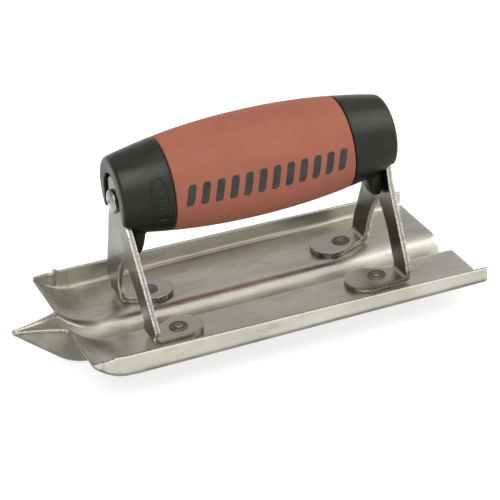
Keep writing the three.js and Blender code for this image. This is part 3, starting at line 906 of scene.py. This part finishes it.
def on_handle(distance, angle, lift=0.0):
    """A point on the handle: distance along it from the middle, angle up from the near side."""
    radius = barrel_radius(distance) + lift
    return Vector((
        HANDLE_X + distance, -radius * math.cos(angle), HANDLE_Z + radius * math.sin(angle)))


BAR_COUNT = 12
BAR_PITCH = 5.3
BAR_HALF_WIDTH = 1.45
BAR_HALF_HEIGHT = 4.3
BAR_SLANT = 0.22
BAR_ANGLE = 0.06
BAR_LIFT = 0.05
BAR_SINK = 0.4


def build_grip_bars():
    """A row of plain slanted bars let into the grip."""
    points = []
    faces = []
    rows, columns = 14, 6
    for index in range(BAR_COUNT):
        middle = (index - (BAR_COUNT - 1) / 2) * BAR_PITCH
        base = len(points)
        for lift in (BAR_LIFT, -BAR_SINK):
            for i in range(rows + 1):
                for j in range(columns + 1):
                    u, v = j / columns * 2 - 1, i / rows * 2 - 1
                    narrow = math.sqrt(max(1 - max(abs(v) - 0.75, 0) ** 2 * 10, 0.1))
                    across = v * BAR_HALF_HEIGHT
                    along = u * BAR_HALF_WIDTH * narrow + across * BAR_SLANT
                    angle = BAR_ANGLE + across / HANDLE_MAX_RADIUS
                    points.append(on_handle(middle + along, angle, lift))
        width = columns + 1
        size = width * (rows + 1)
        for i in range(rows):
            for j in range(columns):
                a = base + i * width + j
                faces.append((a, a + 1, a + width + 1, a + width))
                b = a + size
                faces.append((b, b + width, b + width + 1, b + 1))
        rim = [j for j in range(columns)]
        rim += [columns + width * i for i in range(rows)]
        rim += [width * rows + columns - j for j in range(columns)]
        rim += [width * (rows - i) for i in range(rows)]
        for k, a in enumerate(rim):
            b = rim[(k + 1) % len(rim)]
            faces.append((base + b, base + a, base + size + a, base + size + b))
    return new_piece("grip_bars", points, faces, None, 50)


RIDGE_MIDDLE = -40.0
RIDGE_ANGLE = 0.06
RIDGE_HALF_WIDTH = 2.9
RIDGE_HALF_ANGLE = 0.5
RIDGE_RADIUS = 0.42
RIDGE_LIFT = 0.05
RIB_PITCH = 0.17
RIB_HALF_LENGTH = 1.5
RIB_RADIUS = 0.45
RIB_STEPS = 12


def build_cap_ridge():
    """A plain raised oval with three short ribs, moulded on the near side of the front cap."""
    points = []
    faces = []
    loop = []
    steps = 96
    for i in range(steps):
        t = 2 * math.pi * i / steps
        c, s = math.cos(t), math.sin(t)
        along = math.copysign(abs(c) ** 0.6, c) * RIDGE_HALF_WIDTH
        turn = math.copysign(abs(s) ** 0.8, s) * RIDGE_HALF_ANGLE
        loop.append(on_handle(RIDGE_MIDDLE + along, RIDGE_ANGLE + turn, RIDGE_LIFT))
    append(points, faces, tube(loop, RIDGE_RADIUS))
    for step in (-1, 0, 1):
        angle = RIDGE_ANGLE + step * RIB_PITCH
        rib = []
        for i in range(RIB_STEPS + 1):
            along = mix(-RIB_HALF_LENGTH, RIB_HALF_LENGTH, i / RIB_STEPS)
            rib.append(on_handle(RIDGE_MIDDLE + along, angle))
        append(points, faces, tube(rib, RIB_RADIUS, closed=False))
    return new_piece("cap_ridge", points, faces, None, 60)


# ---- Materials


class Finish:
    """A Principled material and short ways to add nodes to it."""

    def __init__(self, name, metallic, specular=0.5):
        self.material = bpy.data.materials.new(name)
        self.material.use_nodes = True
        self.tree = self.material.node_tree
        self.shader = self.tree.nodes["Principled BSDF"]
        self.shader.inputs["Metallic"].default_value = metallic
        self.shader.inputs["Specular IOR Level"].default_value = specular
        self.place = self.tree.nodes.new("ShaderNodeTexCoord").outputs["Object"]

    def link(self, output, node, socket):
        self.tree.links.new(output, node.inputs[socket])

    def noise(self, scale, stretch=(1, 1, 1), detail=4.0, roughness=0.55):
        """Noise in millimetres: scale is the size of its blobs, stretch lengthens them."""
        mapping = self.tree.nodes.new("ShaderNodeMapping")
        mapping.inputs["Scale"].default_value = [1 / (MM * scale * s) for s in stretch]
        self.link(self.place, mapping, "Vector")
        node = self.tree.nodes.new("ShaderNodeTexNoise")
        node.inputs["Scale"].default_value = 1.0
        node.inputs["Detail"].default_value = detail
        node.inputs["Roughness"].default_value = roughness
        self.link(mapping.outputs["Vector"], node, "Vector")
        return node.outputs["Fac"]

    def ranged(self, value, low, high, to_low=0.0, to_high=1.0):
        node = self.tree.nodes.new("ShaderNodeMapRange")
        node.inputs["From Min"].default_value = low
        node.inputs["From Max"].default_value = high
        node.inputs["To Min"].default_value = to_low
        node.inputs["To Max"].default_value = to_high
        self.link(value, node, "Value")
        return node.outputs["Result"]

    def maths(self, operation, a, b):
        node = self.tree.nodes.new("ShaderNodeMath")
        node.operation = operation
        for index, value in enumerate((a, b)):
            if isinstance(value, (int, float)):
                node.inputs[index].default_value = value
            else:
                self.tree.links.new(value, node.inputs[index])
        return node.outputs[0]

    def blend(self, share, a, b):
        node = self.tree.nodes.new("ShaderNodeMix")
        node.data_type = "RGBA"
        colours = [s for s in node.inputs if s.type == "RGBA"]
        for socket, value in zip(colours, (a, b)):
            if isinstance(value, tuple):
                socket.default_value = (*value, 1)
            else:
                self.tree.links.new(value, socket)
        factor = node.inputs["Factor"]
        if isinstance(share, (int, float)):
            factor.default_value = share
        else:
            self.tree.links.new(share, factor)
        return next(s for s in node.outputs if s.type == "RGBA")

    def attribute(self, name):
        node = self.tree.nodes.new("ShaderNodeAttribute")
        node.attribute_name = name
        return node.outputs["Fac"]

    def part(self, vector, index):
        node = self.tree.nodes.new("ShaderNodeSeparateXYZ")
        self.link(vector, node, "Vector")
        return node.outputs[index]

    def axis(self, index):
        return self.part(self.place, index)

    def facing_up(self):
        """1 on faces that look straight up, -1 on faces that look straight down."""
        geometry = self.tree.nodes.new("ShaderNodeNewGeometry")
        return self.part(geometry.outputs["Normal"], 2)

    def coloured(self, base):
        self.link(base, self.shader, "Base Color")
        return self.material

    def bumps(self, *layers):
        """Each layer is (height value, distance in millimetres, strength)."""
        below = None
        for value, distance, strength in layers:
            node = self.tree.nodes.new("ShaderNodeBump")
            node.inputs["Distance"].default_value = distance * MM
            node.inputs["Strength"].default_value = strength
            self.link(value, node, "Height")
            if below is not None:
                self.link(below, node, "Normal")
            below = node.outputs["Normal"]
        self.link(below, self.shader, "Normal")


def linear(red, green, blue):
    """A colour given as 0 to 255 sRGB."""
    made = []
    for value in (red, green, blue):
        share = value / 255
        made.append(share / 12.92 if share <= 0.04045 else ((share + 0.055) / 1.055) ** 2.4)
    return tuple(made)


def steel(name, light, dark, rough_low, rough_high, grain=(40, 1, 1)):
    """Rolled or turned steel. Returns the finish and its colour, not yet linked."""
    finish = Finish(name, 1.0)
    cloud = finish.noise(14, (2.2, 1, 1), 5)
    fine = finish.noise(0.35, grain, 3, 0.6)
    streak = finish.noise(1.4, (14, 1, 1), 4, 0.6)
    base = finish.blend(finish.ranged(cloud, 0.35, 0.68), dark, light)
    base = finish.blend(finish.ranged(streak, 0.3, 0.7, 0.0, 0.22), base, dark)
    rough = finish.maths(
        "ADD", finish.ranged(cloud, 0.3, 0.7, rough_low, rough_high),
        finish.ranged(fine, 0.3, 0.7, -0.04, 0.05))
    finish.link(rough, finish.shader, "Roughness")
    finish.bumps((cloud, 0.25, 0.22), (streak, 0.03, 0.3), (fine, 0.012, 0.35))
    return finish, base


def cut_rim(finish, base, colour):
    """Adds the grainy torn band in the middle of a sheet's cut edge, in the colour given; on the
    posts that colour is painted dark on the legs as painted shade.
    """
    grain = finish.ranged(finish.noise(0.5, (1, 1, 1), 3, 0.6), 0.35, 0.65, 0.3, 1.0)
    share = finish.maths("MULTIPLY", finish.ranged(finish.attribute("rim"), 0.1, 0.6), grain)
    return finish.blend(share, base, colour)


def worn_edge(finish, base, colour, low, high):
    """Adds wear where the mesh's edge share is high, in patches between two strengths; on the
    posts' feet the colour given also holds painted shade.
    """
    patches = finish.ranged(finish.noise(0.7, (1, 1, 1), 3), 0.4, 0.6, low, high)
    share = finish.maths("MULTIPLY", finish.attribute("edge"), patches)
    return finish.blend(share, base, colour)


# Where the plate's worn edges change from dark to bright, and the heights of the posts' painted leg
# shade and of the lighter painted band on the tab
DARK_EDGE_X = -64.0
BRIGHT_EDGE_X = -56.0
LEG_SHADE_LOW = 13.3
LEG_SHADE_HIGH = 14.6
TAB_LIGHT_LOW = 33.0
TAB_LIGHT_HIGH = 40.0
TAB_LIGHT_WANDER = 3.0


def plate_material():
    finish, base = steel(
        "plate_stainless", linear(214, 212, 199), linear(190, 188, 174), 0.27, 0.37, (30, 1, 1))
    scuff = finish.ranged(finish.noise(5, (3, 1, 1), 6, 0.65), 0.52, 0.8, 0, 0.55)
    base = finish.blend(scuff, base, linear(150, 146, 131))
    cloudy = finish.noise(9)
    speck = finish.ranged(finish.noise(0.8, (1, 1, 1), 2), 0.7, 0.76, 0, 0.5)
    base = finish.blend(speck, base, linear(112, 106, 94))
    # Painted shade: faces that look downwards, such as the beak's flanks, are painted darker, in
    # cloudy patches.
    painted_underside_shade = finish.maths("MULTIPLY", finish.ranged(
        finish.facing_up(), 0.12, -0.3, 0, 0.95), finish.ranged(cloudy, 0.3, 0.6, 0.8, 1.0))
    base = finish.blend(painted_underside_shade, base, linear(104, 102, 90))
    base = cut_rim(finish, base, linear(84, 81, 71))
    # The plate's worn edges are darker at the beak and bright behind it.
    behind_beak = finish.ranged(finish.axis(0), DARK_EDGE_X * MM, BRIGHT_EDGE_X * MM)
    bright = finish.blend(behind_beak, linear(132, 129, 116), linear(232, 230, 218))
    base = worn_edge(finish, base, bright, 0.2, 0.9)
    return finish.coloured(base)


def post_material():
    """Strap steel: bright feet whose edges are painted dark where they face down as painted shade,
    legs painted dark as painted shade and reflection, the tab painted a lighter grey than the legs,
    and bright sheared edges."""
    finish, base = steel(
        "post_stainless", linear(213, 211, 197), linear(194, 191, 177), 0.26, 0.38, (1, 1, 20))
    wander = TAB_LIGHT_WANDER * MM
    uneven = finish.ranged(finish.noise(7), 0.3, 0.7, -wander, wander)
    height = finish.maths("ADD", finish.axis(2), uneven)
    # Painted shade and reflection: above the feet the straps are painted dark by height, and the
    # tab band higher up is painted back to a lighter grey.
    above_foot = finish.ranged(finish.axis(2), LEG_SHADE_LOW * MM, LEG_SHADE_HIGH * MM)
    tab = finish.ranged(height, TAB_LIGHT_LOW * MM, TAB_LIGHT_HIGH * MM)
    base = finish.blend(above_foot, base, linear(70, 69, 60))
    base = finish.blend(tab, base, linear(120, 117, 108))
    # The cut band is painted dark on the legs with the same painted shade.
    base = cut_rim(finish, base, finish.blend(
        above_foot, linear(70, 68, 60), linear(150, 148, 137)))
    # Painted shade and highlight: foot edges that face down are painted dark and those that face up
    # bright; on the legs the sheared edges are worn bright.
    upper = finish.ranged(finish.facing_up(), 0.1, 0.6)
    foot_edge = finish.blend(upper, linear(66, 64, 56), linear(214, 212, 200))
    sheared = finish.blend(above_foot, foot_edge, linear(234, 232, 220))
    base = worn_edge(finish, base, sheared, 0.4, 1.0)
    return finish.coloured(base)


def rivet_material():
    finish, base = steel(
        "rivet_stainless", linear(138, 133, 121), linear(104, 98, 88), 0.46, 0.6, (1, 1, 1))
    base = worn_edge(finish, base, linear(140, 136, 124), 0.6, 1.0)
    return finish.coloured(base)


def screw_material():
    finish, base = steel(
        "screw_plated", linear(166, 168, 162), linear(104, 106, 101), 0.2, 0.32, (1, 1, 1))
    return finish.coloured(base)


def core_material():
    finish = Finish("core_plastic", 0.0)
    mottle = finish.noise(9)
    grain = finish.noise(0.28, (1, 1, 1), 2)
    scuff = finish.noise(2.2, (5, 1, 1), 5, 0.65)
    base = finish.blend(
        finish.ranged(mottle, 0.3, 0.7), linear(10, 11, 9), linear(19, 20, 17))
    base = finish.blend(finish.ranged(scuff, 0.56, 0.78, 0, 0.35), base, linear(58, 59, 53))
    finish.link(base, finish.shader, "Base Color")
    finish.link(finish.maths(
        "ADD", finish.ranged(mottle, 0.3, 0.7, 0.25, 0.38),
        finish.ranged(scuff, 0.4, 0.75, 0.0, 0.12)), finish.shader, "Roughness")
    # Painted shade: the specular level drops on faces that look downwards, so the caps' undersides
    # look darker.
    finish.link(finish.ranged(finish.facing_up(), -0.7, 0.5, 0.06, 0.42),
                finish.shader, "Specular IOR Level")
    finish.shader.inputs["Specular Tint"].default_value = (0.93, 1.0, 0.86, 1)
    finish.bumps((mottle, 0.12, 0.2), (scuff, 0.05, 0.3), (grain, 0.02, 0.25))
    return finish.material


def grip_material():
    finish = Finish("grip_rubber", 0.0, 0.3)
    mottle = finish.noise(11, (1.6, 1, 1), 5)
    grain = finish.noise(0.3, (1, 1, 1), 3, 0.6)
    smudge = finish.noise(5, (3, 1, 1), 5, 0.6)
    base = finish.blend(
        finish.ranged(mottle, 0.3, 0.7), linear(126, 70, 53), linear(138, 80, 62))
    base = finish.blend(finish.ranged(smudge, 0.55, 0.8, 0, 0.45), base, linear(108, 62, 48))
    base = finish.blend(finish.ranged(grain, 0.35, 0.65, 0, 0.3), base, linear(158, 97, 78))
    finish.link(base, finish.shader, "Base Color")
    finish.link(finish.maths(
        "ADD", finish.ranged(mottle, 0.3, 0.7, 0.58, 0.7),
        finish.ranged(grain, 0.3, 0.7, -0.05, 0.06)), finish.shader, "Roughness")
    finish.bumps((mottle, 0.2, 0.2), (grain, 0.035, 0.5))
    return finish.material


def bar_material():
    finish = Finish("grip_inlay", 0.0, 0.3)
    mottle = finish.noise(3)
    grain = finish.noise(0.3, (1, 1, 1), 3, 0.6)
    base = finish.blend(
        finish.ranged(mottle, 0.3, 0.7), linear(34, 35, 32), linear(52, 51, 46))
    finish.link(base, finish.shader, "Base Color")
    finish.link(finish.ranged(grain, 0.3, 0.7, 0.5, 0.66), finish.shader, "Roughness")
    finish.bumps((grain, 0.03, 0.4))
    return finish.material


# ---- Studio


def grey(value):
    return value, value, value, 1


FLOOR_HALF_SIZE = 6000.0
FLOOR_DROP = 0.1
FLOOR_GLOW = 0.76


def build_floor():
    points = [
        Vector((x * FLOOR_HALF_SIZE, y * FLOOR_HALF_SIZE, -FLOOR_DROP))
        for x, y in ((-1, -1), (1, -1), (1, 1), (-1, 1))]
    floor = new_piece("floor", points, [(0, 1, 2, 3)])
    material = bpy.data.materials.new("floor_paper")
    material.use_nodes = True
    shader = material.node_tree.nodes["Principled BSDF"]
    shader.inputs["Base Color"].default_value = (0.36, 0.36, 0.355, 1)
    shader.inputs["Roughness"].default_value = 0.9
    shader.inputs["Specular IOR Level"].default_value = 0.1
    shader.inputs["Emission Color"].default_value = (1, 1, 1, 1)
    shader.inputs["Emission Strength"].default_value = FLOOR_GLOW
    floor.data.materials.append(material)


NEAR_LIGHT = 1.1
NEAR_LIGHT_START_Y = -0.15
NEAR_LIGHT_FULL_Y = -0.8
HORIZON_LIGHT = 1.0
ZENITH_LIGHT = 0.75
SKY_STOPS = ((0.12, 0.95), (0.34, 0.52), (0.6, 0.52))


def build_world():
    world = bpy.data.worlds.new("studio")
    bpy.context.scene.world = world
    world.use_nodes = True
    tree = world.node_tree
    background = tree.nodes["Background"]
    place = tree.nodes.new("ShaderNodeTexCoord")
    split = tree.nodes.new("ShaderNodeSeparateXYZ")
    tree.links.new(place.outputs["Generated"], split.inputs["Vector"])
    ramp = tree.nodes.new("ShaderNodeValToRGB")
    tree.links.new(split.outputs["Z"], ramp.inputs["Fac"])
    elements = ramp.color_ramp.elements
    elements[0].position = 0.0
    elements[0].color = grey(HORIZON_LIGHT)
    elements[1].position = 1.0
    elements[1].color = grey(ZENITH_LIGHT)
    for position, value in SKY_STOPS:
        element = elements.new(position)
        element.color = grey(value)
    near_side = tree.nodes.new("ShaderNodeMapRange")
    near_side.inputs["From Min"].default_value = NEAR_LIGHT_START_Y
    near_side.inputs["From Max"].default_value = NEAR_LIGHT_FULL_Y
    tree.links.new(split.outputs["Y"], near_side.inputs["Value"])
    lit = tree.nodes.new("ShaderNodeMix")
    lit.data_type = "RGBA"
    lit_colours = [socket for socket in lit.inputs if socket.type == "RGBA"]
    tree.links.new(near_side.outputs["Result"], lit.inputs["Factor"])
    tree.links.new(ramp.outputs["Color"], lit_colours[0])
    lit_colours[1].default_value = grey(NEAR_LIGHT)
    mixed = next(socket for socket in lit.outputs if socket.type == "RGBA")
    tree.links.new(mixed, background.inputs["Color"])
    background.inputs["Strength"].default_value = 1.0


def softbox(name, place, aim, size, power, mirrored_in_steel=True):
    light = bpy.data.lights.new(name, "AREA")
    light.shape = "RECTANGLE"
    light.size, light.size_y = size
    light.energy = power
    lamp = bpy.data.objects.new(name, light)
    lamp.location = place
    lamp.visible_glossy = mirrored_in_steel
    direction = Vector(aim) - Vector(place)
    lamp.rotation_mode = "QUATERNION"
    lamp.rotation_quaternion = direction.to_track_quat("-Z", "Y")
    bpy.context.scene.collection.objects.link(lamp)


VIEW_AZIMUTH = math.radians(-19.46)
VIEW_ELEVATION = math.radians(26.75)
VIEW_ROLL = math.radians(5.05)
VIEW_DISTANCE = 0.7763
VIEW_AIM = Vector((0.0049, -0.0070, 0.0317))
SENSOR_WIDTH = 36.0
LENS = 152.6


def build_camera():
    data = bpy.data.cameras.new("camera")
    data.sensor_width = SENSOR_WIDTH
    data.lens = LENS
    camera = bpy.data.objects.new("camera", data)
    bpy.context.scene.collection.objects.link(camera)
    bpy.context.scene.camera = camera
    cos_a, sin_a = math.cos(VIEW_AZIMUTH), math.sin(VIEW_AZIMUTH)
    cos_e, sin_e = math.cos(VIEW_ELEVATION), math.sin(VIEW_ELEVATION)
    level = Vector((cos_a, sin_a, 0))
    above = Vector((-sin_a * sin_e, cos_a * sin_e, cos_e))
    back = Vector((sin_a * cos_e, -cos_a * cos_e, sin_e))
    right = level * math.cos(VIEW_ROLL) - above * math.sin(VIEW_ROLL)
    up = level * math.sin(VIEW_ROLL) + above * math.cos(VIEW_ROLL)
    camera.rotation_mode = "QUATERNION"
    camera.rotation_quaternion = Matrix((right, up, back)).transposed().to_quaternion()
    camera.location = VIEW_AIM + back * VIEW_DISTANCE


# ---- Assembly

bpy.context.scene.view_settings.view_transform = "Standard"
build_camera()
build_world()
build_floor()
softbox("key", (-0.5, -0.7, 1.3), (0, 0, 0.03), (1.0, 1.0), 12)
softbox("fill", (0.9, -0.3, 0.8), (0, 0, 0.03), (0.8, 0.8), 5)
softbox("top", (0.1, 0.35, 1.4), (0, 0, 0.05), (1.2, 0.7), 6, False)

plate_finish = plate_material()
finish_piece(build_plate(), plate_finish, "plate_steel", "groover_plate")
finish_piece(build_stamp(), plate_finish, "plate_steel")
post_finish = post_material()
finish_piece(
    build_post("front_strap", -1, FRONT_POST), post_finish, "post_steel", "front_post")
finish_piece(
    build_post("rear_strap", 1, REAR_POST), post_finish, "post_steel", "rear_post")
rivet_finish = rivet_material()
for end_name in ("front", "rear"):
    for side_name in ("right", "left"):
        node = f"rivet_{end_name}_{side_name}"
        finish_piece(
            build_rivet("head_" + node, node), rivet_finish, "rivet_steel", node)
screw_finish = screw_material()
for node, end in (("front_screw", -1), ("rear_screw", 1)):
    finish_piece(
        build_screw("turned_" + node, node, end), screw_finish, "screw_steel", node)
core_finish = core_material()
finish_piece(build_core(), core_finish, "core_plastic", "handle_core")
finish_piece(build_cap_ridge(), core_finish, "core_plastic")
finish_piece(build_grip(), grip_material(), "grip_rubber", "grip_sleeve")
finish_piece(build_grip_bars(), bar_material(), "grip_rubber")
